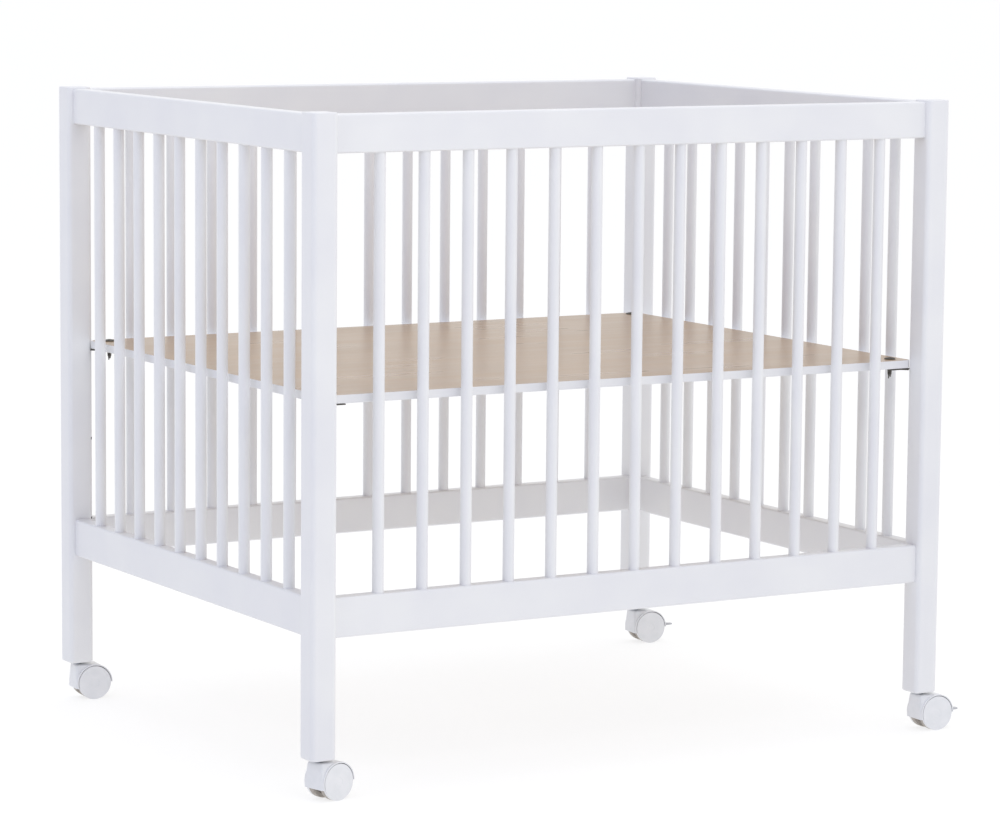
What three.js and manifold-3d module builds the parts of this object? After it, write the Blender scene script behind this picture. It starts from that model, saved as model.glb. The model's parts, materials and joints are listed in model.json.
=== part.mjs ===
// Wooden playpen on four twin-wheel casters, with a floor that can be set at three heights.
// Millimetres, +Z up. The origin is on the floor, under the middle of the playpen.
// +X runs along the long sides, and the front long side faces -Y.

import * as THREE from 'three';
import { mergeVertices } from 'three/addons/utils/BufferGeometryUtils.js';
import Module from 'manifold-3d';

const wasm = await Module();
wasm.setup();

// ---------- driving dimensions ----------

const LENGTH = 975;              // over the posts, along X
const DEPTH = 775;               // over the posts, along Y
const POST_SIDE = 36;
const POST_EDGE_RADIUS = 6.5;    // upright edges of a post
const POST_FOOT_ROUND = 4;
const POST_TOP_ROUND = 2;
const POST_BOTTOM = 54;          // height of a post's lower end above the floor
const POST_LENGTH = 818;

const RAIL_THICKNESS = 21;
const RAIL_SETBACK = 8;          // from a post's outer face to a rail's outer face
const RAIL_EDGE_RADIUS = 3;
const TOP_RAIL_HEIGHT = 49;
const TOP_RAIL_DROP = 2.5;       // a post stands this much above the top rails
const LOWER_RAIL_HEIGHT = 52;
const LOWER_RAIL_TOP = 261;

const BAR_DIAMETER = 15;
const BAR_PITCH = 64;
const LONG_SIDE_BARS = 13;
const SHORT_SIDE_BARS = 10;
const BAR_TENON = 10;            // length of a bar inside the top rail

const BASE_TOP = 515;            // the floor board in its highest position
const BASE_LENGTH = 910;
const BASE_DEPTH = 710;
const PANEL_THICKNESS = 3;
const FRAME_THICKNESS = 8;
const FRAME_WIDTH = 45;
const BATTEN_SPACING = 303;
const BASE_CORNER_CLEARANCE = 1.5;
const DECK_LENGTH = 830;         // plain stretch of the floor board between its bolted ends
const BASE_DROPS = [0, 126, 240]; // the base's three heights, below the highest
const BASE_HOLE_DIAMETER = 4;
const BASE_HOLE_DEPTH = 13;

const PLATE_SIZE = 28;           // steel plate under each corner of the base
const PLATE_THICKNESS = 1.5;
const PLATE_ARM = 3.5;           // how far the plate reaches along a post's faces
const PIN_DIAMETER = 3;
const PIN_LENGTH = 14;
const BOLT_INSET = 17.5;         // from a post's inner faces to the base bolt
const BOLT_DIAMETER = 4;
const BOLT_HEAD_DIAMETER = 16;
const BOLT_HEAD_HEIGHT = 2.5;
const BOLT_END = 2;              // the bolt ends this far below its nut
const NUT_HEIGHT = 8;
const NUT_DIAMETER = 7;
const WING_SPAN = 22;
const WING_TOP = 3;              // from the nut's top down to its wings
const WING_HEIGHT = 13;          // from the nut's top down to the wings' tips
const WING_TIP = 4;              // width of a wing's tip
const WING_THICKNESS = 2;

const WHEEL_RADIUS = 24;
const WHEEL_WIDTH = 11.5;
const WHEEL_GAP = 14;            // between the two wheels of a caster
const CASTER_TRAIL = 20;         // from the swivel axis back to the axle
const HOOD_WIDTH = 37;
const HOOD_FRONT = 27.5;         // from the axle to the front of the hood
const HOOD_RADIUS = 26.5;
const HOOD_BORE_RADIUS = 24.8;   // room for the wheels inside the hood
const HOOD_CROWN = 4;            // rounding between the hood's front and its flat top
const HOOD_LIP = -7.5;           // lower edge of the hood's front, from the axle
const WEB_BOTTOM = { front: -12, back: -9, reach: 10 }; // the web between the wheels, round the axle
const PIVOT_DEPTH = 22;          // from the hood's top down into its web
const LEVER_SLOT = { x: 10.5, top: 6.5, bottom: -10 };
const STEM_RADIUS = 5;
const STEM_LENGTH = 34;
const NECK_RADIUS = 6;
const PIVOT_RADIUS = 4;
const SOCKET_WALL = 1.3;
const AXLE_RADIUS = 3;
const AXLE_LENGTH = 30;
const LEVER_REACH = 45;          // from the axle to the tip of the brake lever
const LEVER_WIDTH = 9;
const LEVER_THICKNESS = 3.6;
const LEVER_PIVOT = { x: 15.5, z: 0.5 };
const TRUNNION_RADIUS = 2;
const FLANGE_THICKNESS = 1;      // of the stem socket, against the post's lower end
const FLANGE_WIDTH = 1.6;        // beyond the stem's neck
const TREAD_ROUND = 1.5;         // edge of the tread at the wheel's inner face
const DISC_ROUND = { width: 2, drop: 0.6, face: 2.4 }; // edge of the wheel's outer face

const GAP = 0.3;                 // clearance between touching pieces
const ROUND_SIDES = 12;
const BAR_SIDES = 10;
const WHEEL_SIDES = 24;

// Each caster and each wing nut stands at its own turn, in degrees about +Z.
const CORNERS = [
  { name: 'front_left', x: -1, y: -1, swivel: 14, nutTurn: 60, brake: false },
  { name: 'front_right', x: 1, y: -1, swivel: -2, nutTurn: 47, brake: true },
  { name: 'back_left', x: -1, y: 1, swivel: -5, nutTurn: 60, brake: false },
  { name: 'back_right', x: 1, y: 1, swivel: -6, nutTurn: 47, brake: true },
];
const SIDES = [
  { name: 'front', long: true, turn: 0 },
  { name: 'right', long: false, turn: Math.PI / 2 },
  { name: 'back', long: true, turn: Math.PI },
  { name: 'left', long: false, turn: -Math.PI / 2 },
];

const POST_X = (LENGTH - POST_SIDE) / 2;
const POST_Y = (DEPTH - POST_SIDE) / 2;
const POST_TOP = POST_BOTTOM + POST_LENGTH;
const TOP_RAIL_TOP = POST_TOP - TOP_RAIL_DROP;
const BAR_TOP = TOP_RAIL_TOP - TOP_RAIL_HEIGHT + BAR_TENON;
const RAIL_CENTRE = RAIL_SETBACK + RAIL_THICKNESS / 2;
const FRAME_TOP = BASE_TOP - PANEL_THICKNESS - GAP;
const FRAME_BOTTOM = FRAME_TOP - FRAME_THICKNESS;
const PLATE_TOP = FRAME_BOTTOM - GAP;
const PLATE_BOTTOM = PLATE_TOP - PLATE_THICKNESS;
const NUT_TOP = PLATE_BOTTOM - GAP;
const EDGE_SETBACK = POST_EDGE_RADIUS * (1 - Math.SQRT1_2); // of a post's rounded edge, in X and in Y
const INNER_X = LENGTH / 2 - POST_SIDE;
const INNER_Y = DEPTH / 2 - POST_SIDE;

// ---------- materials ----------

const material = (color, roughness, metalness) =>
  new THREE.MeshStandardMaterial({ color, roughness, metalness });

const WHITE_LACQUER = material(0xeeeeec, 0.42, 0);
const HARDBOARD = material(0xc6b3a2, 0.6, 0);
const DARK_STEEL = material(0x4a4a4c, 0.4, 1);
const WHITE_PLASTIC = material(0xe6e6e8, 0.35, 0);

// ---------- solids ----------

function solid(geometry) {
  const plain = geometry.index ? geometry.toNonIndexed() : geometry.clone();
  plain.deleteAttribute('normal');
  plain.deleteAttribute('uv');
  const merged = mergeVertices(plain, 1e-4);
  const mesh = new wasm.Mesh({
    numProp: 3,
    vertProperties: new Float32Array(merged.attributes.position.array),
    triVerts: new Uint32Array(merged.index.array),
  });
  return new wasm.Manifold(mesh);
}

function geometryOf(manifold) {
  const mesh = manifold.getMesh();
  const geometry = new THREE.BufferGeometry();
  geometry.setAttribute('position', new THREE.BufferAttribute(mesh.vertProperties, 3));
  geometry.setIndex(new THREE.BufferAttribute(mesh.triVerts, 1));
  geometry.computeVertexNormals();
  return geometry;
}

const join = (pieces) => pieces.reduce((whole, piece) => whole.add(piece));
const cut = (body, tools) => tools.reduce((rest, tool) => rest.subtract(tool), body);

function box(x0, x1, y0, y1, z0, z1) {
  const geometry = new THREE.BoxGeometry(x1 - x0, y1 - y0, z1 - z0);
  return solid(geometry.translate((x0 + x1) / 2, (y0 + y1) / 2, (z0 + z1) / 2));
}

// A round rod standing on z0, centred on (x, y).
function rod(radius, z0, z1, x = 0, y = 0, sides = ROUND_SIDES) {
  const geometry = new THREE.CylinderGeometry(radius, radius, z1 - z0, sides);
  geometry.rotateX(Math.PI / 2);
  return solid(geometry.translate(x, y, (z0 + z1) / 2));
}

// A round rod lying along Y, centred on (x, z).
function crossRod(radius, length, x, z, sides = ROUND_SIDES) {
  const geometry = new THREE.CylinderGeometry(radius, radius, length, sides);
  return solid(geometry.translate(x, 0, z));
}

function roundedRectangle(width, height, radius) {
  const x = width / 2;
  const y = height / 2;
  const shape = new THREE.Shape();
  shape.absarc(x - radius, y - radius, radius, 0, Math.PI / 2);
  shape.absarc(radius - x, y - radius, radius, Math.PI / 2, Math.PI);
  shape.absarc(radius - x, radius - y, radius, Math.PI, Math.PI * 1.5);
  shape.absarc(x - radius, radius - y, radius, Math.PI * 1.5, Math.PI * 2);
  shape.closePath();
  return shape;
}

// Extrudes a shape drawn in (x, z) along Y, from -width/2 to +width/2.
function sideProfile(shape, width, curveSegments) {
  const geometry = new THREE.ExtrudeGeometry(shape, { depth: width, bevelEnabled: false, curveSegments });
  geometry.rotateX(Math.PI / 2);
  return solid(geometry.translate(0, width / 2, 0));
}

function mesh(name, shape, finish) {
  const geometry = shape instanceof wasm.Manifold ? geometryOf(shape) : shape;
  const result = new THREE.Mesh(geometry, finish);
  result.name = name;
  return result;
}

// ---------- posts ----------

// One end of a post, with its end edges rounded; the other end is cut away.
function postEnd(length, rounding, keepFrom, keepTo) {
  const outline = roundedRectangle(
    POST_SIDE - 2 * rounding, POST_SIDE - 2 * rounding, POST_EDGE_RADIUS - rounding);
  const geometry = new THREE.ExtrudeGeometry(outline, {
    depth: length - 2 * rounding,
    curveSegments: 2,
    bevelThickness: rounding,
    bevelSize: rounding,
    bevelSegments: 2,
  });
  geometry.translate(0, 0, rounding);
  return solid(geometry).intersect(box(-POST_SIDE, POST_SIDE, -POST_SIDE, POST_SIDE, keepFrom, keepTo));
}

// A blind hole into a post's inner edge, for the base at one of its heights.
function baseHole(height, corner) {
  const geometry = new THREE.CylinderGeometry(
    BASE_HOLE_DIAMETER / 2, BASE_HOLE_DIAMETER / 2, 2 * BASE_HOLE_DEPTH, 8);
  geometry.rotateZ(Math.PI / 2);
  geometry.rotateZ(Math.atan2(-corner.y, -corner.x));
  const edge = POST_SIDE / 2 - EDGE_SETBACK;
  return solid(geometry.translate(-corner.x * edge, -corner.y * edge, height - POST_BOTTOM));
}

function post(corner) {
  const middle = POST_LENGTH / 2;
  const lower = postEnd(POST_LENGTH, POST_FOOT_ROUND, 0, middle);
  const upper = postEnd(POST_LENGTH, POST_TOP_ROUND, middle, POST_LENGTH);
  const socketBore = rod(STEM_RADIUS + SOCKET_WALL + 2 * GAP, -1, STEM_LENGTH + 3);
  const holes = BASE_DROPS.map((drop) => baseHole(PLATE_BOTTOM - drop, corner));
  const body = mesh(`post_${corner.name}`, cut(lower.add(upper), [socketBore, ...holes]), WHITE_LACQUER);
  body.position.set(corner.x * POST_X, corner.y * POST_Y, POST_BOTTOM);
  return body;
}

// ---------- side panels ----------

// A rail lying along X between two posts, centred on the origin in X and Y.
function rail(length, height, top) {
  const outline = roundedRectangle(RAIL_THICKNESS, height, RAIL_EDGE_RADIUS);
  const geometry = new THREE.ExtrudeGeometry(outline, {
    depth: length - 2 * GAP,
    bevelEnabled: false,
    curveSegments: 2,
  });
  geometry.translate(0, 0, GAP - length / 2);
  const alongX = new THREE.Matrix4().makeBasis(
    new THREE.Vector3(0, 1, 0), new THREE.Vector3(0, 0, 1), new THREE.Vector3(1, 0, 0));
  geometry.applyMatrix4(alongX);
  return solid(geometry.translate(0, 0, top - height / 2));
}

function barPlaces(count) {
  return Array.from({ length: count }, (_, index) => (index - (count - 1) / 2) * BAR_PITCH);
}

function topRail(length, count) {
  const sockets = barPlaces(count).map((x) =>
    rod(BAR_DIAMETER / 2 + GAP, TOP_RAIL_TOP - TOP_RAIL_HEIGHT - 1, BAR_TOP + GAP, x, 0, BAR_SIDES));
  return cut(rail(length, TOP_RAIL_HEIGHT, TOP_RAIL_TOP), sockets);
}

// The bars are glued into the lower rail, so the two make one comb.
function barComb(length, count) {
  const bars = barPlaces(count).map((x) =>
    rod(BAR_DIAMETER / 2, LOWER_RAIL_TOP - BAR_TENON, BAR_TOP, x, 0, BAR_SIDES));
  return join([rail(length, LOWER_RAIL_HEIGHT, LOWER_RAIL_TOP), ...bars]);
}

function sidePanel(side) {
  const length = (side.long ? LENGTH : DEPTH) - 2 * POST_SIDE;
  const count = side.long ? LONG_SIDE_BARS : SHORT_SIDE_BARS;
  const reach = (side.long ? DEPTH : LENGTH) / 2 - RAIL_CENTRE;
  const panel = new THREE.Group();
  const group = new THREE.Group();
  panel.add(mesh(`top_rail_${side.name}`, topRail(length, count), WHITE_LACQUER));
  panel.add(mesh(`bar_comb_${side.name}`, barComb(length, count), WHITE_LACQUER));
  panel.position.y = -reach;
  group.rotation.z = side.turn;
  group.add(panel);
  return group;
}

// ---------- base ----------

// Room for the posts' inner corners, cut out of every layer of the base.
function cornerNotches(z0, z1) {
  const x = INNER_X - BASE_CORNER_CLEARANCE;
  const y = INNER_Y - BASE_CORNER_CLEARANCE;
  return CORNERS.map((corner) => box(
    Math.min(corner.x * x, corner.x * LENGTH), Math.max(corner.x * x, corner.x * LENGTH),
    Math.min(corner.y * y, corner.y * DEPTH), Math.max(corner.y * y, corner.y * DEPTH), z0, z1));
}

function boltPlace(corner) {
  return [corner.x * (INNER_X - BOLT_INSET), corner.y * (INNER_Y - BOLT_INSET)];
}

function boltHoles(z0, z1) {
  return CORNERS.map((corner) => rod(BOLT_DIAMETER / 2 + GAP, z0, z1, ...boltPlace(corner)));
}

function baseLayerCuts(z0, z1) {
  return [...cornerNotches(z0 - 1, z1 + 1), ...boltHoles(z0 - 1, z1 + 1)];
}

// One board; the deck between its bolted ends is one plain face.
function basePanel() {
  const x = BASE_LENGTH / 2;
  const y = BASE_DEPTH / 2;
  const deck = DECK_LENGTH / 2;
  const bottom = BASE_TOP - PANEL_THICKNESS;
  const stretches = [[-x, -deck], [-deck, deck], [deck, x]];
  const board = join(stretches.map(([x0, x1]) => box(x0, x1, -y, y, bottom, BASE_TOP)));
  return mesh('base_panel', cut(board, baseLayerCuts(bottom, BASE_TOP)), HARDBOARD);
}

function baseLongRail(name, direction) {
  const x = BASE_LENGTH / 2;
  const outer = direction * BASE_DEPTH / 2;
  const inner = direction * (BASE_DEPTH / 2 - FRAME_WIDTH);
  const strip = box(-x, x, Math.min(outer, inner), Math.max(outer, inner), FRAME_BOTTOM, FRAME_TOP);
  return mesh(name, cut(strip, baseLayerCuts(FRAME_BOTTOM, FRAME_TOP)), WHITE_LACQUER);
}

// A cross piece between the two long rails of the base, from x0 to x1.
function baseCrossPiece(name, x0, x1) {
  const y = BASE_DEPTH / 2 - FRAME_WIDTH - GAP;
  return mesh(name, box(x0, x1, -y, y, FRAME_BOTTOM, FRAME_TOP), WHITE_LACQUER);
}

function baseFrame() {
  const x = BASE_LENGTH / 2;
  const batten = BATTEN_SPACING / 2;
  const half = FRAME_WIDTH / 2;
  return [
    baseLongRail('base_rail_front', -1),
    baseLongRail('base_rail_back', 1),
    baseCrossPiece('base_rail_left', -x, FRAME_WIDTH - x),
    baseCrossPiece('base_rail_right', x - FRAME_WIDTH, x),
    baseCrossPiece('base_batten_left', -batten - half, half - batten),
    baseCrossPiece('base_batten_right', batten - half, batten + half),
  ];
}

// ---------- corner fittings of the base ----------

// Drawn for the corner at +X +Y: the plate fits round the post's inner edge, and a short
// pin points along the diagonal at the hole in that edge.
function cornerPlateShape() {
  const plate = box(
    INNER_X - PLATE_SIZE, INNER_X + PLATE_ARM, INNER_Y - PLATE_SIZE, INNER_Y + PLATE_ARM,
    PLATE_BOTTOM, PLATE_TOP);
  const notch = roundedRectangle(POST_SIDE + 2 * GAP, POST_SIDE + 2 * GAP, POST_EDGE_RADIUS);
  const postRoom = new THREE.ExtrudeGeometry(notch, {
    depth: 4 * PLATE_THICKNESS,
    bevelEnabled: false,
    curveSegments: 3,
  });
  postRoom.translate(POST_X, POST_Y, PLATE_BOTTOM - PLATE_THICKNESS);
  const pin = new THREE.CylinderGeometry(PIN_DIAMETER / 2, PIN_DIAMETER / 2, PIN_LENGTH, 8);
  pin.rotateZ(-Math.PI / 4);
  const middle = EDGE_SETBACK - 2 * GAP - PIN_LENGTH / 2 * Math.SQRT1_2;
  pin.translate(INNER_X + middle, INNER_Y + middle, PLATE_BOTTOM);
  const bore = rod(BOLT_DIAMETER / 2 + GAP, PLATE_BOTTOM - 1, FRAME_BOTTOM, ...boltPlace({ x: 1, y: 1 }));
  return cut(plate.add(solid(pin)), [solid(postRoom), bore]);
}

function mirrored(shape, corner) {
  return shape.scale([corner.x, corner.y, 1]);
}

function baseBolt() {
  const top = BASE_TOP + GAP;
  const head = BOLT_HEAD_DIAMETER / 2;
  const shank = BOLT_DIAMETER / 2;
  const bottom = NUT_TOP - NUT_HEIGHT - BOLT_END;
  const crown = top + BOLT_HEAD_HEIGHT;
  const profile = [
    [0, bottom], [shank, bottom], [shank, top], [head, top],
    [head, top + BOLT_HEAD_HEIGHT * 0.4], [head * 0.6, crown], [0, crown],
  ];
  return turned(profile, ROUND_SIDES);
}

function wingNut() {
  const hub = rod(NUT_DIAMETER / 2, NUT_TOP - NUT_HEIGHT, NUT_TOP);
  const tip = WING_SPAN / 2;
  const wing = new THREE.Shape();
  wing.moveTo(0, NUT_TOP - NUT_HEIGHT);
  wing.lineTo(tip - WING_TIP, NUT_TOP - WING_HEIGHT);
  wing.lineTo(tip, NUT_TOP - WING_HEIGHT + WING_TIP / 2);
  wing.lineTo(NUT_DIAMETER / 2, NUT_TOP - WING_TOP);
  wing.lineTo(0, NUT_TOP - WING_TOP);
  wing.closePath();
  const right = sideProfile(wing, WING_THICKNESS, 1);
  const left = right.rotate([0, 0, 180]);
  const bore = rod(BOLT_DIAMETER / 2 + GAP, NUT_TOP - WING_HEIGHT, NUT_TOP + 1);
  return cut(join([hub, right, left]), [bore]);
}

function cornerFittings() {
  const plate = cornerPlateShape();
  const bolt = baseBolt();
  const nut = wingNut();
  return CORNERS.flatMap((corner) => {
    const [x, y] = boltPlace(corner);
    const boltMesh = mesh(`base_bolt_${corner.name}`, bolt, DARK_STEEL);
    const nutMesh = mesh(`wing_nut_${corner.name}`, nut, DARK_STEEL);
    boltMesh.position.set(x, y, 0);
    nutMesh.position.set(x, y, 0);
    nutMesh.rotation.z = corner.nutTurn * Math.PI / 180;
    return [mesh(`corner_plate_${corner.name}`, mirrored(plate, corner), DARK_STEEL), boltMesh, nutMesh];
  });
}

// ---------- casters ----------

// A solid turned about Z from a profile of [radius, height] points.
function turned(profile, sides) {
  const points = profile.map(([radius, height]) => new THREE.Vector2(radius, height));
  const geometry = new THREE.LatheGeometry(points, sides);
  geometry.rotateX(Math.PI / 2);
  return solid(geometry);
}

function stemSocket() {
  const inner = STEM_RADIUS + GAP;
  const outer = inner + SOCKET_WALL;
  const top = POST_BOTTOM + STEM_LENGTH;
  const flange = NECK_RADIUS + FLANGE_WIDTH;
  const flangeTop = POST_BOTTOM - GAP;
  const bottom = flangeTop - FLANGE_THICKNESS;
  const profile = [
    [inner, bottom], [flange, bottom], [flange, flangeTop], [outer, flangeTop],
    [outer, top], [inner, top], [inner, bottom],
  ];
  return turned(profile, ROUND_SIDES);
}

function stem() {
  const hoodTop = WHEEL_RADIUS + HOOD_RADIUS;
  const bottom = hoodTop - PIVOT_DEPTH;
  const neckBottom = hoodTop + GAP;
  const neckTop = POST_BOTTOM - FLANGE_THICKNESS - 2 * GAP;
  const top = POST_BOTTOM + STEM_LENGTH - 2;
  const profile = [
    [0, bottom], [PIVOT_RADIUS, bottom], [PIVOT_RADIUS, neckBottom], [NECK_RADIUS, neckBottom],
    [NECK_RADIUS, neckTop], [STEM_RADIUS, neckTop], [STEM_RADIUS, top], [0, top],
  ];
  return turned(profile, ROUND_SIDES);
}

// Side view of the hood about the axle: upright front, flat top over the stem, round back.
function hoodOutline() {
  const shape = new THREE.Shape();
  shape.moveTo(-HOOD_FRONT, HOOD_LIP);
  shape.lineTo(-Math.sqrt(HOOD_BORE_RADIUS ** 2 - HOOD_LIP ** 2), HOOD_LIP);
  shape.lineTo(-WEB_BOTTOM.reach, WEB_BOTTOM.front);
  shape.lineTo(WEB_BOTTOM.reach, WEB_BOTTOM.back);
  shape.lineTo(HOOD_BORE_RADIUS, 0);
  shape.absarc(0, 0, HOOD_RADIUS, 0, Math.PI / 2);
  shape.lineTo(HOOD_CROWN - HOOD_FRONT, HOOD_RADIUS);
  shape.quadraticCurveTo(-HOOD_FRONT, HOOD_RADIUS, -HOOD_FRONT, HOOD_RADIUS - HOOD_CROWN);
  shape.closePath();
  return shape;
}

function wheelRoom(direction) {
  const reach = HOOD_WIDTH / 2 + 1;
  const inner = WHEEL_GAP / 2 - 0.5;
  const room = crossRod(HOOD_BORE_RADIUS, reach - inner, 0, 0, WHEEL_SIDES);
  return room.translate([0, direction * (reach + inner) / 2, 0]);
}

// Drawn with the axle on the Y axis and z = 0 at the axle.
function hood(brake) {
  const shell = sideProfile(hoodOutline(), HOOD_WIDTH, 10);
  const tools = [
    wheelRoom(-1),
    wheelRoom(1),
    rod(PIVOT_RADIUS + GAP, HOOD_RADIUS - PIVOT_DEPTH - 1, HOOD_RADIUS + 1, -CASTER_TRAIL),
    crossRod(AXLE_RADIUS + GAP, HOOD_WIDTH + 2, 0, 0),
  ];
  if (brake) {
    const slot = LEVER_WIDTH / 2 + GAP;
    tools.push(box(LEVER_SLOT.x, HOOD_RADIUS + 1, -slot, slot, LEVER_SLOT.bottom, LEVER_SLOT.top));
    tools.push(crossRod(TRUNNION_RADIUS + GAP, WHEEL_GAP + 1, LEVER_PIVOT.x, LEVER_PIVOT.z, 8));
  }
  return cut(shell, tools);
}

function brakeLever() {
  const half = LEVER_THICKNESS / 2;
  const { x, z } = LEVER_PIVOT;
  const arm = new THREE.Shape();
  arm.absarc(x, z, half + 0.8, Math.PI / 3, Math.PI * 5 / 3);
  arm.lineTo(LEVER_REACH - half, z - half);
  arm.absarc(LEVER_REACH - half, z, half, -Math.PI / 2, Math.PI / 2);
  arm.closePath();
  const trunnion = crossRod(TRUNNION_RADIUS, WHEEL_GAP - 1 - 2 * GAP, x, z, 8);
  return sideProfile(arm, LEVER_WIDTH, 4).add(trunnion);
}

function axle() {
  return crossRod(AXLE_RADIUS, AXLE_LENGTH, 0, 0);
}

// Turned about Z with the inner face at z = 0, then laid along Y; its tread has a flat below.
function wheel(direction) {
  const tread = WHEEL_RADIUS / Math.cos(Math.PI / WHEEL_SIDES);
  const bore = AXLE_RADIUS + GAP;
  const boreDepth = AXLE_LENGTH / 2 - WHEEL_GAP / 2 + GAP;
  const { width, drop, face } = DISC_ROUND;
  const profile = [
    [0, boreDepth], [bore, boreDepth], [bore, 0], [tread - TREAD_ROUND, 0], [tread, TREAD_ROUND],
    [tread, WHEEL_WIDTH - width], [tread - drop, WHEEL_WIDTH - width / 4], [tread - face, WHEEL_WIDTH],
    [0, WHEEL_WIDTH],
  ];
  const reversed = profile.map(([radius, height]) => [radius, -height]).reverse();
  const disc = turned(direction > 0 ? reversed : profile, WHEEL_SIDES);
  const lying = disc.rotate([90, 0, 0]).rotate([0, 180 / WHEEL_SIDES, 0]);
  return lying.translate([0, direction * WHEEL_GAP / 2, 0]);
}

function caster(corner) {
  const swivel = new THREE.Group();
  const running = new THREE.Group();
  const place = (name, shape, finish) => running.add(mesh(`${name}_${corner.name}`, shape, finish));
  place('caster_hood', hood(corner.brake), WHITE_PLASTIC);
  place('caster_axle', axle(), DARK_STEEL);
  place('outer_wheel', wheel(corner.y), WHITE_PLASTIC);
  place('inner_wheel', wheel(-corner.y), WHITE_PLASTIC);
  if (corner.brake) {
    place('brake_lever', brakeLever(), WHITE_PLASTIC);
  }
  running.position.set(CASTER_TRAIL, 0, WHEEL_RADIUS);
  swivel.rotation.z = corner.swivel * Math.PI / 180;
  swivel.add(running);
  const group = new THREE.Group();
  group.add(mesh(`stem_socket_${corner.name}`, stemSocket(), DARK_STEEL));
  group.add(mesh(`caster_stem_${corner.name}`, stem(), DARK_STEEL));
  group.add(swivel);
  group.position.set(corner.x * POST_X, corner.y * POST_Y, 0);
  return group;
}

// ---------- assembly ----------

const playpen = new THREE.Group();
playpen.add(...CORNERS.map(post));
playpen.add(...SIDES.map(sidePanel));
playpen.add(basePanel(), ...baseFrame(), ...cornerFittings());
playpen.add(...CORNERS.map(caster));

export default playpen;
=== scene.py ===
"""Looks of a white lacquered wooden playpen on four twin-wheel casters.

Metres, +Z up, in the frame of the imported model. The front long side faces -Y and the braked
casters are at +X. Every post, rail, bar, board, fitting and caster part is modelled here at the
place that the frame gives, and rides on the body that it moves with.
"""

import json
import math

import bmesh
import bpy
from mathutils import Matrix, Vector


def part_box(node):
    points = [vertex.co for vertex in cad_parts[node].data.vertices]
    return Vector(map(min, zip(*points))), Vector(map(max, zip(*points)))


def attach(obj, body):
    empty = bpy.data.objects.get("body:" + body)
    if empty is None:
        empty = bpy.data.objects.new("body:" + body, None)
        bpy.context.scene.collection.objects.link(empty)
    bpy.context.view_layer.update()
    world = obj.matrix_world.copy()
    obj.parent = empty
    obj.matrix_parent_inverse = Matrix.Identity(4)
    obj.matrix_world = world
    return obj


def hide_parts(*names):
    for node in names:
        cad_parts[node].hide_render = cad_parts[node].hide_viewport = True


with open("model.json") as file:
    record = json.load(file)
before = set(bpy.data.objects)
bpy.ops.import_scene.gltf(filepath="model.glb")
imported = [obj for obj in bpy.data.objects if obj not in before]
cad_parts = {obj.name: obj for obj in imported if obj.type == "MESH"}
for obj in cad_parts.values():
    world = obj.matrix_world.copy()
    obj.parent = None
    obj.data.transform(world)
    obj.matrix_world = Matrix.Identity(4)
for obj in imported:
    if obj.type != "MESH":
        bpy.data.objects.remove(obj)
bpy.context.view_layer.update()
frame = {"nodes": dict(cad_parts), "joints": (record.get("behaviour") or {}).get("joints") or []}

MM = 0.001
CORNERS = ("front_left", "front_right", "back_left", "back_right")
BRAKED = ("front_right", "back_right")
JOINTS = {joint["name"]: joint for joint in frame["joints"]}
X, Y, Z = Vector((1, 0, 0)), Vector((0, 1, 0)), Vector((0, 0, 1))

# ---------- sizes that the frame's boxes don't give, in metres ----------

POST_EDGE_RADIUS = 6.5 * MM
POST_TOP_ROUND = 2 * MM
POST_FOOT_ROUND = 3 * MM
RAIL_EDGE_RADIUS = 3 * MM
LOWER_RAIL_HEIGHT = 52 * MM
BAR_DIAMETER = 15 * MM
BAR_PITCH = 64 * MM
BARS = {"front": 13, "back": 13, "left": 10, "right": 10}
BASE_HOLE_DIAMETER = 4 * MM
BASE_HOLE_DEPTH = 12 * MM
BASE_HOLE_DROPS = (0, 126 * MM, 240 * MM)    # the three heights of the base, from the highest
PIN_RADIUS = 1.5 * MM
BOLT_DIAMETER = 4 * MM
BOLT_HEAD_HEIGHT = 2.5 * MM
NUT_HEIGHT = 8 * MM
NUT_DIAMETER = 7 * MM
NUT_TURNS = {"front_left": 60, "front_right": 47, "back_left": 60, "back_right": 47}    # degrees
WING_SPAN = 22 * MM
WING_TOP = 3 * MM            # from the nut's top down to its wings
WING_THICKNESS = 1.4 * MM
WHEEL_RADIUS = 24 * MM
WHEEL_WIDTH = 11.5 * MM
WHEEL_GAP = 14 * MM
DISC_WIDTH = 4.2 * MM
AXLE_RADIUS = 3 * MM
HOOD_WIDTH = 37 * MM
HOOD_FRONT = 27.5 * MM
HOOD_LIP = -7.5 * MM         # lower edge of the hood's front, from the axle
HOOD_RADIUS = 26.5 * MM
HOOD_BORE_RADIUS = 24.8 * MM
CASTER_TRAIL = 20 * MM
NECK_RADIUS = 6 * MM
STEM_RADIUS = 5 * MM
PIVOT_RADIUS = 4 * MM
LEVER_REACH = 45 * MM
LEVER_WIDTH = 9 * MM
LEVER_THICKNESS = 3.6 * MM
TRUNNION_RADIUS = 2 * MM
RUNNING_GAP = 0.3 * MM       # between pieces that turn or slide on each other
HOOD_WEB_RADIUS = 10 * MM    # round the axle, between the wheels
HOOD_CORNER_ROUND = 3.6 * MM
HOOD_CROWN_ROUND = 3 * MM
HOOD_NARROWING = 0.27        # share of the width that the front loses towards its top
HOOD_LEAN = 1.2 * MM         # that the front leans back at its top


# ---------- camera and studio ----------

CAMERA_PLACE = (-2.7328, -4.6865, 1.1222)
CAMERA_AZIMUTH = -30.334     # degrees; 0 looks along +Y
CAMERA_ELEVATION = 7.365     # degrees that it looks down
CAMERA_ROLL = 0.513
CAMERA_LENS = 141.17         # millimetres, on a 36 mm sensor
LIGHT_TARGET = (0, 0, 0.45)


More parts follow.
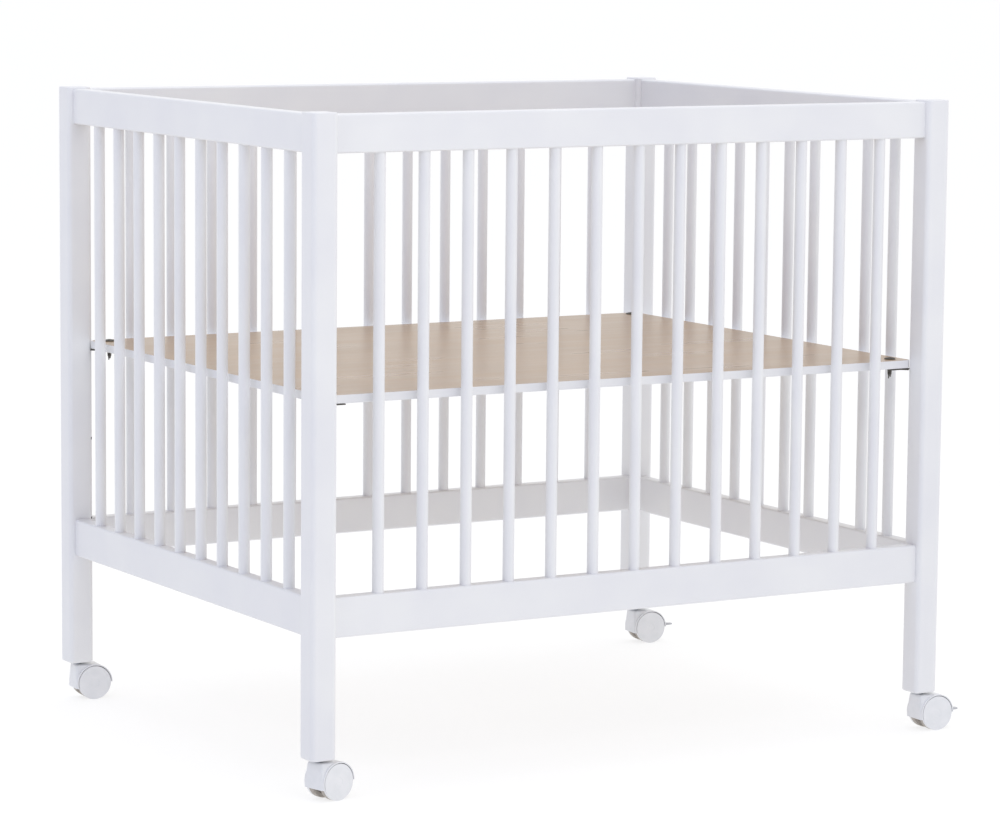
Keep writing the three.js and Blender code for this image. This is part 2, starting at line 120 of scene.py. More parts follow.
def make_camera():
    camera = bpy.data.objects.new("camera", bpy.data.cameras.new("camera"))
    camera.data.sensor_width = 36
    camera.data.lens = CAMERA_LENS
    camera.data.clip_end = 200
    camera.matrix_world = (
        Matrix.Translation(CAMERA_PLACE)
        @ Matrix.Rotation(math.radians(CAMERA_AZIMUTH), 4, "Z")
        @ Matrix.Rotation(math.radians(90 - CAMERA_ELEVATION), 4, "X")
        @ Matrix.Rotation(math.radians(CAMERA_ROLL), 4, "Z")
    )
    bpy.context.scene.collection.objects.link(camera)
    bpy.context.scene.camera = camera


def make_light(name, place, width, height, power, colour):
    light = bpy.data.objects.new(name, bpy.data.lights.new(name, "AREA"))
    light.data.shape = "RECTANGLE"
    light.data.size = width
    light.data.size_y = height
    light.data.energy = power
    light.data.color = linear(colour)[:3]
    towards = Vector(LIGHT_TARGET) - Vector(place)
    light.matrix_world = Matrix.Translation(place) @ towards.to_track_quat("-Z", "Y").to_matrix().to_4x4()
    light.visible_camera = False
    bpy.context.scene.collection.objects.link(light)


def make_studio():
    """A white seamless floor in a white surround that is cooler and dimmer at the front left."""
    world = bpy.data.worlds.new("studio")
    world.use_nodes = True
    tree = world.node_tree
    tree.nodes.clear()
    direction = add(tree, "ShaderNodeTexCoord").outputs["Generated"]
    backward = add(tree, "ShaderNodeVectorMath", {0: direction, 1: (0.86, 0.5, 0)}, operation="DOT_PRODUCT")
    share = add(tree, "ShaderNodeMapRange", {
        "Value": backward.outputs["Value"], "From Min": -0.9, "From Max": 0.1})
    glow = add(tree, "ShaderNodeMix", {"Factor": share.outputs["Result"]}, data_type="RGBA")
    glow.inputs["A"].default_value = linear("A2A9C2")
    glow.inputs["B"].default_value = linear("FFFFFF")
    surround = add(tree, "ShaderNodeBackground", {"Color": glow.outputs["Result"], "Strength": 1.02})
    add(tree, "ShaderNodeOutputWorld", {"Surface": surround.outputs["Background"]})
    bpy.context.scene.world = world
    bpy.context.scene.view_settings.view_transform = "Standard"

    bm = bmesh.new()
    bmesh.ops.create_grid(bm, x_segments=1, y_segments=1, size=60)
    floor = new_object("studio_floor", bm, [lit_white_paper()])

    make_light("overhead_softbox", (0.3, 0.2, 3.4), 3.0, 2.6, 12, "FFFFFF")
    make_light("high_front_softbox", (-0.4, -3.6, 3.2), 2.4, 1.8, 28, "FFFFFF")
    make_light("high_left_softbox", (-3.6, -0.8, 3.2), 2.4, 1.8, 26, "F2F5FF")


# ---------- materials ----------

def linear(colour):
    """An sRGB hex colour as linear RGBA."""
    values = [int(colour[i:i + 2], 16) / 255 for i in (0, 2, 4)]
    return [v / 12.92 if v <= 0.04045 else ((v + 0.055) / 1.055) ** 2.4 for v in values] + [1]


def add(tree, kind, inputs=None, **settings):
    """A node of that kind, with its settings, and its inputs set to a value or linked to a socket."""
    made = tree.nodes.new(kind)
    for name, value in settings.items():
        setattr(made, name, value)
    for key, value in (inputs or {}).items():
        if isinstance(value, bpy.types.NodeSocket):
            tree.links.new(value, made.inputs[key])
        else:
            made.inputs[key].default_value = value
    return made


def new_material(name):
    material = bpy.data.materials.new(name)
    material.use_nodes = True
    tree = material.node_tree
    tree.nodes.clear()
    place = add(tree, "ShaderNodeTexCoord").outputs["Object"]
    return material, tree, place


def noise(tree, place, spacing, detail=2.0, stretch=(1, 1, 1)):
    """Values from 0 to 1 whose lumps are that many metres apart, drawn out by stretch."""
    scaled = add(tree, "ShaderNodeMapping", {"Vector": place, "Scale": [1 / (spacing * s) for s in stretch]})
    return add(tree, "ShaderNodeTexNoise", {
        "Vector": scaled.outputs["Vector"], "Scale": 1.0, "Detail": detail}).outputs["Fac"]


def surface(tree, colour, roughness, height, relief, **fixed):
    """A principled surface with a colour and roughness pattern, and height as relief in metres."""
    bump = add(tree, "ShaderNodeBump", {"Height": height, "Strength": 1.0, "Distance": relief})
    shader = add(tree, "ShaderNodeBsdfPrincipled", {
        "Base Color": colour, "Roughness": roughness, "Normal": bump.outputs["Normal"]})
    for socket, value in fixed.items():
        shader.inputs[socket.replace("_", " ")].default_value = value
    add(tree, "ShaderNodeOutputMaterial", {"Surface": shader.outputs["BSDF"]})


def between(tree, factor, low, high):
    """Two colours, mixed by factor."""
    ramp = add(tree, "ShaderNodeValToRGB", {"Fac": factor})
    ramp.color_ramp.elements[0].position = 0.3
    ramp.color_ramp.elements[0].color = linear(low)
    ramp.color_ramp.elements[1].position = 0.7
    ramp.color_ramp.elements[1].color = linear(high)
    return ramp.outputs["Color"]


def spread(tree, factor, low, high):
    """A number from low to high."""
    return add(tree, "ShaderNodeMapRange", {
        "Value": factor, "From Min": 0.3, "From Max": 0.7, "To Min": low, "To Max": high}).outputs["Result"]


def heaped(tree, first, second, share):
    """Two heights added, with that share of the second."""
    mix = add(tree, "ShaderNodeMix", data_type="FLOAT")
    mix.inputs[0].default_value = share
    tree.links.new(first, mix.inputs[2])
    tree.links.new(second, mix.inputs[3])
    return mix.outputs[0]


def satin_lacquered_beech(grain):
    """Beech sprayed with white satin lacquer: an even soft white, with the closed grain of the
    wood just felt through it along the piece and the slight orange peel of a sprayed coat.
    grain is x, y or z."""
    material, tree, place = new_material(f"satin_lacquered_beech_{grain}")
    stretch = {"x": (45, 1, 1), "y": (1, 45, 1), "z": (1, 1, 45)}[grain]
    # Beech pores lie 0.2 mm apart; the relief is drawn 3 mm apart so that it shows.
    pores = noise(tree, place, 3 * MM, 3.0, stretch)
    # Orange peel of sprayed lacquer, 2 to 5 mm across.
    peel = noise(tree, place, 4.5 * MM, 1.0)
    clouds = noise(tree, place, 90 * MM, 2.0)
    surface(
        tree, between(tree, clouds, "E3E3E6", "E8E8E9"), spread(tree, clouds, 0.40, 0.47),
        heaped(tree, pores, peel, 0.45), 0.07 * MM, IOR=1.5, Coat_Weight=0.12, Coat_Roughness=0.3)
    return material


def sealed_hardboard():
    """Wood-fibre board with a smooth sealed face: warm beige, mottled by pressed fibres that run
    mostly along the sheet, with a low gloss."""
    material, tree, place = new_material("sealed_hardboard")
    # The fibres are finer than a millimetre; they are drawn 1.6 mm apart so that they show.
    fibres = noise(tree, place, 1.6 * MM, 2.0, (9, 1.6, 1))
    streaks = noise(tree, place, 26 * MM, 2.0, (11, 1, 1))
    blotches = noise(tree, place, 120 * MM, 2.0)
    tone = heaped(tree, heaped(tree, streaks, fibres, 0.35), blotches, 0.3)
    surface(
        tree, between(tree, tone, "9F866B", "B59B7F"), spread(tree, streaks, 0.27, 0.36),
        fibres, 0.04 * MM, IOR=1.5)
    return material


def blackened_steel():
    """Pressed steel with a dark zinc coating: grey-brown metal, dull, slightly patchy."""
    material, tree, place = new_material("blackened_zinc_steel")
    patches = noise(tree, place, 3 * MM, 3.0)
    grain = noise(tree, place, 0.8 * MM, 2.0)
    surface(
        tree, between(tree, patches, "4A4744", "6B6661"), spread(tree, patches, 0.32, 0.48),
        grain, 0.02 * MM, Metallic=1.0)
    return material


def moulded_nylon():
    """White nylon, injection moulded: a clean cool white with a fine eroded texture and soft gloss."""
    material, tree, place = new_material("moulded_white_nylon")
    # Spark-eroded moulds leave a 0.2 mm texture; it is drawn at 0.9 mm.
    texture = noise(tree, place, 0.9 * MM, 2.0)
    flow = noise(tree, place, 14 * MM, 2.0)
    surface(
        tree, between(tree, flow, "E1E2E4", "E7E7E9"), spread(tree, flow, 0.3, 0.38),
        texture, 0.015 * MM, IOR=1.53)
    return material


def moulded_grey_nylon():
    """Light grey nylon of the brake levers, a little rougher than the white."""
    material, tree, place = new_material("moulded_grey_nylon")
    texture = noise(tree, place, 0.9 * MM, 2.0)
    flow = noise(tree, place, 8 * MM, 2.0)
    surface(
        tree, between(tree, flow, "B4B5BA", "C0C1C5"), spread(tree, flow, 0.36, 0.45),
        texture, 0.015 * MM, IOR=1.53)
    return material


def bright_zinc():
    """Zinc-plated steel of the caster stems: pale, cool metal with faint spangle."""
    material, tree, place = new_material("bright_zinc_plate")
    spangle = noise(tree, place, 1.5 * MM, 2.0)
    surface(
        tree, between(tree, spangle, "B9BDC4", "CDD0D6"), spread(tree, spangle, 0.28, 0.4),
        spangle, 0.01 * MM, Metallic=1.0)
    return material


def grey_tread_rubber():
    """Soft grey-beige tread ring: matt, a little scuffed."""
    material, tree, place = new_material("grey_tread_rubber")
    scuffs = noise(tree, place, 2.5 * MM, 3.0)
    surface(
        tree, between(tree, scuffs, "A29B93", "B8B1A9"), spread(tree, scuffs, 0.55, 0.7),
        scuffs, 0.05 * MM, IOR=1.5)
    return material


def painted_bore_shade():
    """Painted shade for the inside of the posts' bores: dark metal, with patches a millimetre apart."""
    material, tree, place = new_material("painted_shade_bore_lining")
    patches = noise(tree, place, 1 * MM, 1.0)
    surface(
        tree, between(tree, patches, "2C2A29", "45423F"), spread(tree, patches, 0.4, 0.55),
        patches, 0.1 * MM, Metallic=1.0)
    return material


def lit_white_paper():
    """Studio floor of matt white paper, lit so brightly from below that only a breath of shadow
    shows on it."""
    material, tree, place = new_material("lit_white_paper")
    tooth = noise(tree, place, 2 * MM, 2.0)
    surface(
        tree, between(tree, tooth, "949494", "9A9A9A"), spread(tree, tooth, 0.85, 0.9), tooth, 0.02 * MM,
        Emission_Color=linear("FFFFFF"), Emission_Strength=0.735, Specular_IOR_Level=0.0)
    return material


# ---------- mesh tools ----------

def new_object(name, bm, finishes):
    mesh = bpy.data.meshes.new(name)
    bm.to_mesh(mesh)
    bm.free()
    for finish in finishes:
        mesh.materials.append(finish)
    piece = bpy.data.objects.new(name, mesh)
    bpy.context.scene.collection.objects.link(piece)
    return piece


def add_piece(name, bm, finishes, body, nodes=(), smooth_below=38):
    """A finished piece that rides on a body and stands for CAD nodes. Its wide faces shade flat and
    its roundings shade smooth."""
    piece = new_object(name, bm, finishes)
    piece.data.shade_smooth()
    piece.data.set_sharp_from_angle(angle=math.radians(smooth_below))
    shading = piece.modifiers.new("flat_faces_shade_flat", "WEIGHTED_NORMAL")
    shading.keep_sharp = True
    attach(piece, body)
    if nodes:
        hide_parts(*nodes)
    return piece


def block(low, high):
    """A box between two corners."""
    low, high = Vector(low), Vector(high)
    bm = bmesh.new()
    bmesh.ops.create_cube(bm, size=1)
    bmesh.ops.scale(bm, vec=high - low, verts=bm.verts)
    bmesh.ops.translate(bm, vec=(low + high) / 2, verts=bm.verts)
    return bm


def edges_along(bm, direction):
    return [e for e in bm.edges if abs((e.verts[1].co - e.verts[0].co).normalized().dot(direction)) > 0.999]


def edges_in_plane(bm, point, normal):
    """The edges that border the flat face through point."""
    near = 1e-6
    return [e for e in bm.edges if all(abs((v.co - Vector(point)).dot(normal)) < near for v in e.verts)
            and any(abs(abs(f.normal.dot(normal)) - 1) > near for f in e.link_faces)]


def round_off(bm, edges, radius, segments=3):
    bmesh.ops.bevel(
        bm, geom=list(edges), offset=radius, offset_type="OFFSET", affect="EDGES",
        segments=segments, profile=0.5, material=-1, clamp_overlap=True)


def cylinder(radius, length, axis, centre, sides=40):
    """A closed cylinder along an axis."""
    bm = bmesh.new()
    bmesh.ops.create_cone(
        bm, cap_ends=True, segments=sides, radius1=radius, radius2=radius, depth=length)
    turn = Z.rotation_difference(axis).to_matrix().to_4x4()
    bmesh.ops.transform(bm, matrix=Matrix.Translation(centre) @ turn, verts=bm.verts)
    return bm


def turned(profile, steps=40):
    """A profile of (radius, height) points turned about Z. It starts and ends on the axis, or closes
    on itself."""
    bm = bmesh.new()
    verts = [bm.verts.new((radius, 0, height)) for radius, height in profile]
    for first, second in zip(verts, verts[1:]):
        bm.edges.new((first, second))
    if profile[0][0] > 0:
        bm.edges.new((verts[-1], verts[0]))
    bmesh.ops.spin(
        bm, geom=bm.verts[:] + bm.edges[:], cent=(0, 0, 0), axis=Z, angle=2 * math.pi,
        steps=steps, use_merge=True)
    bmesh.ops.remove_doubles(bm, verts=bm.verts, dist=1e-6)
    bmesh.ops.recalc_face_normals(bm, faces=bm.faces)
    return bm


def quarter(centre_radius, centre_height, radius, start, steps=4):
    """Points of a quarter circle in a turned profile, from the start angle in degrees."""
    return [(centre_radius + radius * math.cos(math.radians(start + 90 * i / steps)),
             centre_height + radius * math.sin(math.radians(start + 90 * i / steps)))
            for i in range(steps + 1)]


def combined(bm, others, operation):
    """bm joined with, or cut by, each of the others."""
    body = new_object("body", bm, [])
    tools = [new_object("tool", other, []) for other in others]
    for tool in tools:
        step = body.modifiers.new("step", "BOOLEAN")
        step.operation = operation
        step.solver = "EXACT"
        step.object = tool
    result = bmesh.new()
    result.from_object(body, bpy.context.evaluated_depsgraph_get())
    for used in [body, *tools]:
        mesh = used.data
        bpy.data.objects.remove(used)
        bpy.data.meshes.remove(mesh)
    bmesh.ops.remove_doubles(result, verts=result.verts, dist=1e-6)
    return result


def moved(bm, matrix):
    bmesh.ops.transform(bm, matrix=matrix, verts=bm.verts)
    return bm


# ---------- posts ----------

def make_post(corner, finishes):
    low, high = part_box(f"post_{corner}")
    bm = block(low, high)
    round_off(bm, edges_along(bm, Z), POST_EDGE_RADIUS, 6)
    round_off(bm, edges_in_plane(bm, high, Z), POST_TOP_ROUND, 4)
    round_off(bm, edges_in_plane(bm, low, Z), POST_FOOT_ROUND, 4)
    centre = (low + high) / 2
    inward = Vector((-math.copysign(1, centre.x), -math.copysign(1, centre.y), 0)).normalized()
    half = (high.x - low.x) / 2
    edge = half * math.sqrt(2) - POST_EDGE_RADIUS * (math.sqrt(2) - 1)
    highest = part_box(f"corner_plate_{corner}")[0].z + PIN_RADIUS
    bores = []
    for drop in BASE_HOLE_DROPS:
        mouth = Vector((centre.x, centre.y, highest - drop)) + inward * edge
        bores.append(cylinder(BASE_HOLE_DIAMETER / 2, 2 * BASE_HOLE_DEPTH, inward, mouth, 20))
    bm = combined(bm, bores, "DIFFERENCE")
    # The faces inside the bores take the second finish, a dark lining that is painted shade for the holes.
    reach = BASE_HOLE_DIAMETER / 2 + 0.01 * MM
    for face in bm.faces:
        middle = face.calc_center_median()
        out = middle - Vector((centre.x, centre.y, middle.z))
        near_bore = any(abs(middle.z - (highest - drop)) < reach for drop in BASE_HOLE_DROPS)
        along = out.dot(inward)
        aside = (out - inward * along).length
        if near_bore and aside < reach and along < edge - 0.5 * MM and along > 0:
            face.material_index = 1
    add_piece(f"lacquered_post_{corner}", bm, finishes, "frame", [f"post_{corner}"])


# ---------- side panels ----------

def make_rail(name, low, high, axis, finish, nodes):
    """A rail with rounded long edges; its ends run a little way into the posts."""
    tenon = axis * 1 * MM
    bm = block(low - tenon, high + tenon)
    round_off(bm, edges_along(bm, axis), RAIL_EDGE_RADIUS, 4)
    add_piece(name, bm, [finish], "frame", nodes)


def make_bar(name, x, y, bottom, top, finish):
    bm = cylinder(BAR_DIAMETER / 2, top - bottom, Z, (x, y, (bottom + top) / 2), 28)
    add_piece(name, bm, [finish], "frame")


def make_side(side, lacquer):
    along = X if BARS[side] == BARS["front"] else Y
    rail_finish = lacquer["x" if along is X else "y"]
    top_low, top_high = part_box(f"top_rail_{side}")
    make_rail(f"upper_rail_{side}", top_low, top_high, along, rail_finish, [f"top_rail_{side}"])
    low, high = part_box(f"bar_comb_{side}")
    rail_top = low.z + LOWER_RAIL_HEIGHT
    rail_high = Vector((high.x, high.y, rail_top))
    make_rail(f"lower_rail_{side}", low, rail_high, along, rail_finish, [f"bar_comb_{side}"])
    centre = (low + high) / 2
    hidden = 1 * MM
    for index in range(BARS[side]):
        place = centre + along * (index - (BARS[side] - 1) / 2) * BAR_PITCH
        make_bar(
            f"bar_{side}_{index + 1:02d}", place.x, place.y, rail_top - hidden, top_low.z + hidden,
            lacquer["z"])


# ---------- base ----------

def notched(bm, clearance=1.5 * MM):
    """Cuts room for the posts' inner corners."""
    bores = []
    for corner in CORNERS:
        low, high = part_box(f"post_{corner}")
        room = Vector((clearance, clearance, 0))
        bores.append(block(low - room, high + room))
    return combined(bm, bores, "DIFFERENCE")


def make_base(lacquer, hardboard):
    low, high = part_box("base_panel")
    glued = low.z + 0.02 * MM
    bm = notched(block(low, high))
    bm.normal_update()
    for face in bm.faces:
        if abs(face.normal.z) < 0.5:
            face.material_index = 1
    round_off(bm, edges_in_plane(bm, high, Z), 0.5 * MM, 2)
    add_piece("floor_board", bm, [hardboard, lacquer["x"]], "base", ["base_panel"])
    for name, grain in (
        ("rail_front", "x"), ("rail_back", "x"), ("rail_left", "y"), ("rail_right", "y"),
        ("batten_left", "y"), ("batten_right", "y"),
    ):
        low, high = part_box(f"base_{name}")
        high.z = glued
        bm = block(low, high)
        if grain == "x":
            bm = notched(bm)
        bm.normal_update()
        round_off(bm, edges_in_plane(bm, low, Z), 1.2 * MM, 3)
        add_piece(f"floor_{name}", bm, [lacquer[grain]], "base", [f"base_{name}"])


# ---------- corner fittings of the base ----------

def make_corner_plate(corner, steel):
    bm = bmesh.new()
    bm.from_mesh(frame["nodes"][f"corner_plate_{corner}"].data)
    bmesh.ops.remove_doubles(bm, verts=bm.verts, dist=1e-6)
    bmesh.ops.dissolve_limit(bm, angle_limit=math.radians(1), verts=bm.verts, edges=bm.edges)
    piece = add_piece(
        f"steel_plate_{corner}", bm, [steel], "base", [f"corner_plate_{corner}"], 30)
    softened = piece.modifiers.new("pressed_edges", "BEVEL")
    softened.width = 0.3 * MM
    softened.segments = 2
    softened.limit_method = "ANGLE"
    softened.angle_limit = math.radians(40)
    piece.modifiers.move(1, 0)


def make_bolt(corner, steel):
    low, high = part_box(f"base_bolt_{corner}")
    centre = (low + high) / 2
    head, shank = (high.x - low.x) / 2, BOLT_DIAMETER / 2
    seat = high.z - BOLT_HEAD_HEIGHT
    dome = [(head * math.sin(math.radians(angle)), seat + BOLT_HEAD_HEIGHT * math.cos(math.radians(angle)))
            for angle in range(0, 81, 10)]
    profile = [
        *dome, (head, seat + 0.4 * MM), (head - 0.2 * MM, seat), (shank, seat), (shank, low.z), (0, low.z),
    ]
    bm = moved(turned(profile, 36), Matrix.Translation((centre.x, centre.y, 0)))
    across = 2.3 * MM
    socket = cylinder(across, 3 * MM, Z, (centre.x, centre.y, high.z), 6)
    add_piece(
        f"domed_bolt_{corner}", combined(bm, [socket], "DIFFERENCE"), [steel], "base",
        [f"base_bolt_{corner}"], 30)


def make_wing_nut(corner, steel):
    """A pressed nut with a waisted hub and two ears that spread downwards."""
    low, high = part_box(f"wing_nut_{corner}")
    centre = (low + high) / 2
    hub, bore, top = NUT_DIAMETER / 2 - 0.4 * MM, BOLT_DIAMETER / 2 + 0.2 * MM, high.z
    foot = top - NUT_HEIGHT
    profile = [
        (bore, top), (hub - 0.4 * MM, top), (hub, top - 0.4 * MM), (hub, top - 2 * MM),
        (hub * 0.86, foot + 0.4 * MM), (hub * 0.86 - 0.4 * MM, foot), (bore, foot),
    ]
    nut = turned(profile, 28)
    ears = []
    for turn in (0, math.pi):
        root, tip = hub * 0.5, WING_SPAN / 2
        ear = block((root, -WING_THICKNESS / 2, 0), (tip, WING_THICKNESS / 2, 1 * MM))
        for vert in ear.verts:
            upper, outer = vert.co.z > 0, vert.co.x > root + 1e-6
            if outer:
                vert.co.z = low.z + 5 * MM if upper else low.z
                vert.co.x = tip if upper else tip - 1.5 * MM
            else:
                vert.co.z = top - WING_TOP if upper else foot + 0.6 * MM
        ear.normal_update()
        round_off(ear, [e for e in ear.edges if abs(e.verts[0].co.y - e.verts[1].co.y) > 1e-6
                        and e.verts[0].co.x > root + 1e-6], 1.4 * MM, 4)
        round_off(ear, [e for e in ear.edges if abs(e.verts[0].co.y - e.verts[1].co.y) < 1e-7
                        and any(v.co.x > root + 1e-6 for v in e.verts)], 0.5 * MM, 2)
        ears.append(moved(ear, Matrix.Rotation(turn, 4, "Z")))
    nut = combined(nut, ears, "UNION")
    clear = cylinder(bore, 4 * NUT_HEIGHT, Z, (0, 0, top), 28)
    nut = combined(nut, [clear], "DIFFERENCE")
    turn = math.radians(NUT_TURNS[corner])
    moved(nut, Matrix.Translation((centre.x, centre.y, 0)) @ Matrix.Rotation(turn, 4, "Z"))
    add_piece(f"steel_wing_nut_{corner}", nut, [steel], "base", [f"wing_nut_{corner}"], 35)


# ---------- casters ----------

def caster_place(corner):
    """Where a caster's own axes lie: the axle is along Y at the origin, and -X is its front."""
    joint = JOINTS[f"outer_wheel_spin_{corner}"]
    axle = Vector(joint["axis"])
    turn = math.atan2(-axle.x, axle.y)
    return Matrix.Translation(joint["pos_m"]) @ Matrix.Rotation(turn, 4, "Z")


def make_stem(corner, zinc):
    low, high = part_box(f"caster_stem_{corner}")
    socket_low, socket_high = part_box(f"stem_socket_{corner}")
    centre = (low + high) / 2
    place = Matrix.Translation((centre.x, centre.y, 0))
    neck_top = socket_low.z - RUNNING_GAP
    neck_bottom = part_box(f"caster_hood_{corner}")[1].z + RUNNING_GAP
    stem = [
        (0, low.z), (PIVOT_RADIUS - 0.4 * MM, low.z), (PIVOT_RADIUS, low.z + 0.4 * MM),
        (PIVOT_RADIUS, neck_bottom),
        *quarter(NECK_RADIUS - 0.4 * MM, neck_bottom + 0.4 * MM, 0.4 * MM, -90),
        *quarter(NECK_RADIUS - 0.4 * MM, neck_top - 0.4 * MM, 0.4 * MM, 0),
        (STEM_RADIUS, neck_top), (STEM_RADIUS, high.z - 1 * MM), (STEM_RADIUS - 1 * MM, high.z), (0, high.z),
    ]
    add_piece(
        f"steel_stem_{corner}", moved(turned(stem), place), [zinc], "frame",
        [f"caster_stem_{corner}"], 30)
    inner = STEM_RADIUS + RUNNING_GAP
    outer = inner + 1.3 * MM
    flange = NECK_RADIUS + 1.6 * MM
    seat = socket_low.z + 1 * MM
    socket = [
        (inner, socket_low.z), (flange - 0.3 * MM, socket_low.z), (flange, socket_low.z + 0.3 * MM),
        (flange, seat), (outer, seat), (outer, socket_high.z), (inner, socket_high.z),
    ]
    add_piece(
        f"steel_socket_{corner}", moved(turned(socket), place), [zinc], "frame",
        [f"stem_socket_{corner}"], 30)


def make_hood(corner, nylon):
    """A fender over both wheels, grown together with an upright front that narrows to the neck."""
    half = HOOD_WIDTH / 2
    fender = cylinder(HOOD_RADIUS, HOOD_WIDTH, Y, (0, 0, 0), 96)
    sides = edges_in_plane(fender, (0, half, 0), Y) + edges_in_plane(fender, (0, -half, 0), Y)
    round_off(fender, sides, 0.5 * MM, 2)

    front = block((-HOOD_FRONT, -half, HOOD_LIP - 8 * MM), (0, half, HOOD_RADIUS))
    bmesh.ops.subdivide_edges(front, edges=edges_along(front, Z), cuts=7)
    for vert in front.verts:
        rise = max(0.0, (vert.co.z - HOOD_LIP) / (HOOD_RADIUS - HOOD_LIP))
        ahead = -vert.co.x / HOOD_FRONT
        vert.co.y *= 1 - HOOD_NARROWING * ahead * rise ** 1.6
        vert.co.x += HOOD_LEAN * ahead * rise ** 1.6
    front.normal_update()
    corner_edges = [e for e in front.edges if all(v.co.x < -HOOD_FRONT * 0.85 for v in e.verts)
                    and abs(e.verts[0].co.z - e.verts[1].co.z) > 1 * MM]
    round_off(front, corner_edges, HOOD_CORNER_ROUND, 5)
    crown = [e for e in edges_in_plane(front, (0, 0, HOOD_RADIUS), Z)
             if any(v.co.x < -1 * MM for v in e.verts)]
    round_off(front, crown, HOOD_CROWN_ROUND, 4)
    bm = combined(fender, [front], "UNION")

    below_front = block((-40 * MM, -30 * MM, -40 * MM), (0, 30 * MM, HOOD_LIP))
    below_rear = block((-1 * MM, -30 * MM, -40 * MM), (40 * MM, 30 * MM, 0))
    bm = combined(bm, [below_front, below_rear], "DIFFERENCE")
    web = cylinder(HOOD_WEB_RADIUS, WHEEL_GAP - 1 * MM, Y, (0, 0, 0), 48)
    bm = combined(bm, [web], "UNION")

    inner = WHEEL_GAP / 2 - 0.5 * MM
    rooms = [cylinder(HOOD_BORE_RADIUS, half, Y, (0, side * (inner + half / 2), 0), 96) for side in (-1, 1)]
    tools = [
        *rooms,
        cylinder(AXLE_RADIUS + RUNNING_GAP, HOOD_WIDTH + 2 * MM, Y, (0, 0, 0), 24),
        cylinder(PIVOT_RADIUS + RUNNING_GAP, 24 * MM, Z, (-CASTER_TRAIL, 0, HOOD_RADIUS - 11 * MM), 24),
    ]
    if corner in BRAKED:
        slot = LEVER_WIDTH / 2 + 0.4 * MM
        pivot = caster_place(corner).inverted() @ Vector(JOINTS[f"brake_press_{corner}"]["pos_m"])
        tools.append(cylinder(TRUNNION_RADIUS + RUNNING_GAP, WHEEL_GAP + 2 * MM, Y, pivot, 24))
        tools.append(block((10.5 * MM, -slot, -10 * MM), (30 * MM, slot, 6.5 * MM)))
    bm = combined(bm, tools, "DIFFERENCE")
    bmesh.ops.dissolve_limit(bm, angle_limit=math.radians(0.5), verts=bm.verts, edges=bm.edges)
    add_piece(
        f"nylon_hood_{corner}", moved(bm, caster_place(corner)), [nylon], f"caster_{corner}",
        [f"caster_hood_{corner}"], 32)


def make_axle(corner, steel):
    length = WHEEL_GAP + 2 * (WHEEL_WIDTH - DISC_WIDTH - RUNNING_GAP)
    bm = cylinder(AXLE_RADIUS, length, Y, (0, 0, 0), 24)
    add_piece(
        f"steel_axle_{corner}", moved(bm, caster_place(corner)), [steel], f"caster_{corner}",
        [f"caster_axle_{corner}"], 40)


def wheel_disc():
    """The white disc of a wheel, with its outer face at z = 0 and a small rounding at its rim."""
    rim, edge, depth = WHEEL_RADIUS - 0.1 * MM, 0.45 * MM, DISC_WIDTH
    middle = 6 * MM
    profile = [
        (0, -0.25 * MM), (middle, -0.25 * MM), (middle + 0.3 * MM, 0),
        *reversed(quarter(rim - edge, -edge, edge, 0)), (rim, -depth), (0, -depth),
    ]
    return turned(profile, 72)


def wheel_tread():
    """The grey ring behind the disc, from the disc to the wheel's inner face."""
    depth, bore = WHEEL_WIDTH, AXLE_RADIUS + RUNNING_GAP
    start = -DISC_WIDTH - 0.05 * MM
    profile = [
        (bore, start), (WHEEL_RADIUS, start),
        *reversed(quarter(WHEEL_RADIUS - 1.5 * MM, 1.5 * MM - depth, 1.5 * MM, 270)),
        (WHEEL_RADIUS - 5 * MM, -depth), (WHEEL_RADIUS - 6 * MM, 3 * MM - depth), (8 * MM, 3 * MM - depth),
        (7 * MM, -depth), (bore, -depth),
    ]
    return turned(profile, 72)


def make_wheel(corner, which, nylon, rubber):
    outward = math.copysign(1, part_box(f"post_{corner}")[0].y)
    facing = outward if which == "outer" else -outward
    to_side = Matrix.Rotation(-facing * math.pi / 2, 4, "X")
    shift = Matrix.Translation((0, facing * (WHEEL_GAP / 2 + WHEEL_WIDTH), 0))
    place = caster_place(corner) @ shift @ to_side
    body = f"wheel_body_{which}_{corner}"
    add_piece(
        f"{which}_wheel_disc_{corner}", moved(wheel_disc(), place), [nylon], body,
        [f"{which}_wheel_{corner}"], 30)
    add_piece(
        f"{which}_wheel_tread_{corner}", moved(wheel_tread(), place), [rubber], body,
        (), 30)


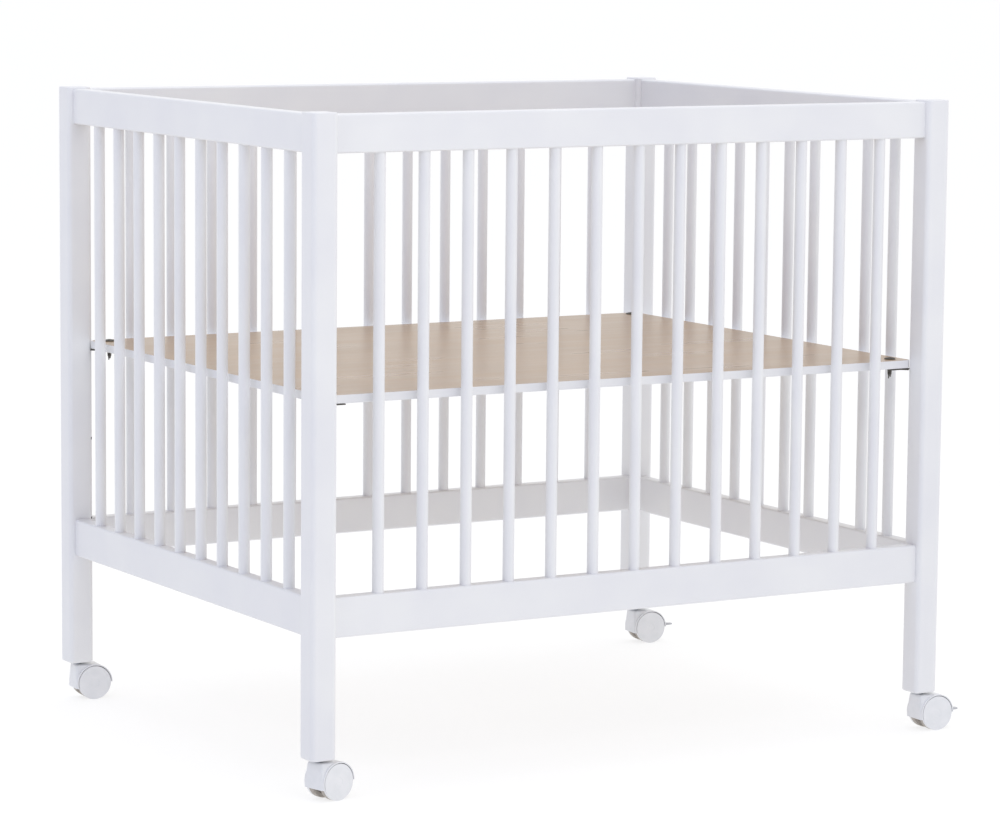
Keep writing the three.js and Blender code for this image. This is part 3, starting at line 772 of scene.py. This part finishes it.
def make_lever(corner, grey_nylon):
    """A flat tab that thins towards its tip, with a trunnion that it turns on."""
    joint = JOINTS[f"brake_press_{corner}"]
    place = caster_place(corner)
    pivot = place.inverted() @ Vector(joint["pos_m"])
    half = LEVER_THICKNESS / 2
    tab = block((pivot.x, -LEVER_WIDTH / 2, pivot.z - half), (LEVER_REACH, LEVER_WIDTH / 2, pivot.z + half))
    bmesh.ops.subdivide_edges(tab, edges=edges_along(tab, X), cuts=4)
    for vert in tab.verts:
        out = (vert.co.x - pivot.x) / (LEVER_REACH - pivot.x)
        vert.co.z = pivot.z + (vert.co.z - pivot.z) * (1 - 0.45 * out ** 2)
        vert.co.y *= 1 - 0.12 * out ** 3
    round_off(tab, [e for e in tab.edges if all(v.co.x > LEVER_REACH - 1e-6 for v in e.verts)
                    and abs(e.verts[0].co.z - e.verts[1].co.z) > 1e-5], 3 * MM, 5)
    tab.normal_update()
    ends = [e for e in tab.edges if len(e.link_faces) == 2 and e.calc_face_angle() > math.radians(60)]
    round_off(tab, ends, 0.7 * MM, 3)
    knuckle = cylinder(half + 0.7 * MM, LEVER_WIDTH, Y, pivot, 28)
    trunnion = cylinder(TRUNNION_RADIUS, WHEEL_GAP - 1.6 * MM, Y, pivot, 20)
    bm = combined(tab, [knuckle, trunnion], "UNION")
    add_piece(
        f"nylon_brake_lever_{corner}", moved(bm, place), [grey_nylon], f"brake_{corner}",
        [f"brake_lever_{corner}"], 32)


# ---------- the whole playpen ----------

def make_playpen():
    lacquer = {grain: satin_lacquered_beech(grain) for grain in "xyz"}
    steel = blackened_steel()
    # Dark painted shade that lines the inside of the posts' bores.
    bore_shade = painted_bore_shade()
    zinc = bright_zinc()
    nylon = moulded_nylon()
    grey_nylon = moulded_grey_nylon()
    rubber = grey_tread_rubber()
    for corner in CORNERS:
        make_post(corner, [lacquer["z"], bore_shade])
    for side in BARS:
        make_side(side, lacquer)
    make_base(lacquer, sealed_hardboard())
    for corner in CORNERS:
        make_corner_plate(corner, steel)
        make_bolt(corner, steel)
        make_wing_nut(corner, steel)
        make_stem(corner, zinc)
        make_hood(corner, nylon)
        make_axle(corner, steel)
        make_wheel(corner, "outer", nylon, rubber)
        make_wheel(corner, "inner", nylon, rubber)
    for corner in BRAKED:
        make_lever(corner, grey_nylon)


make_camera()
make_studio()
make_playpen()
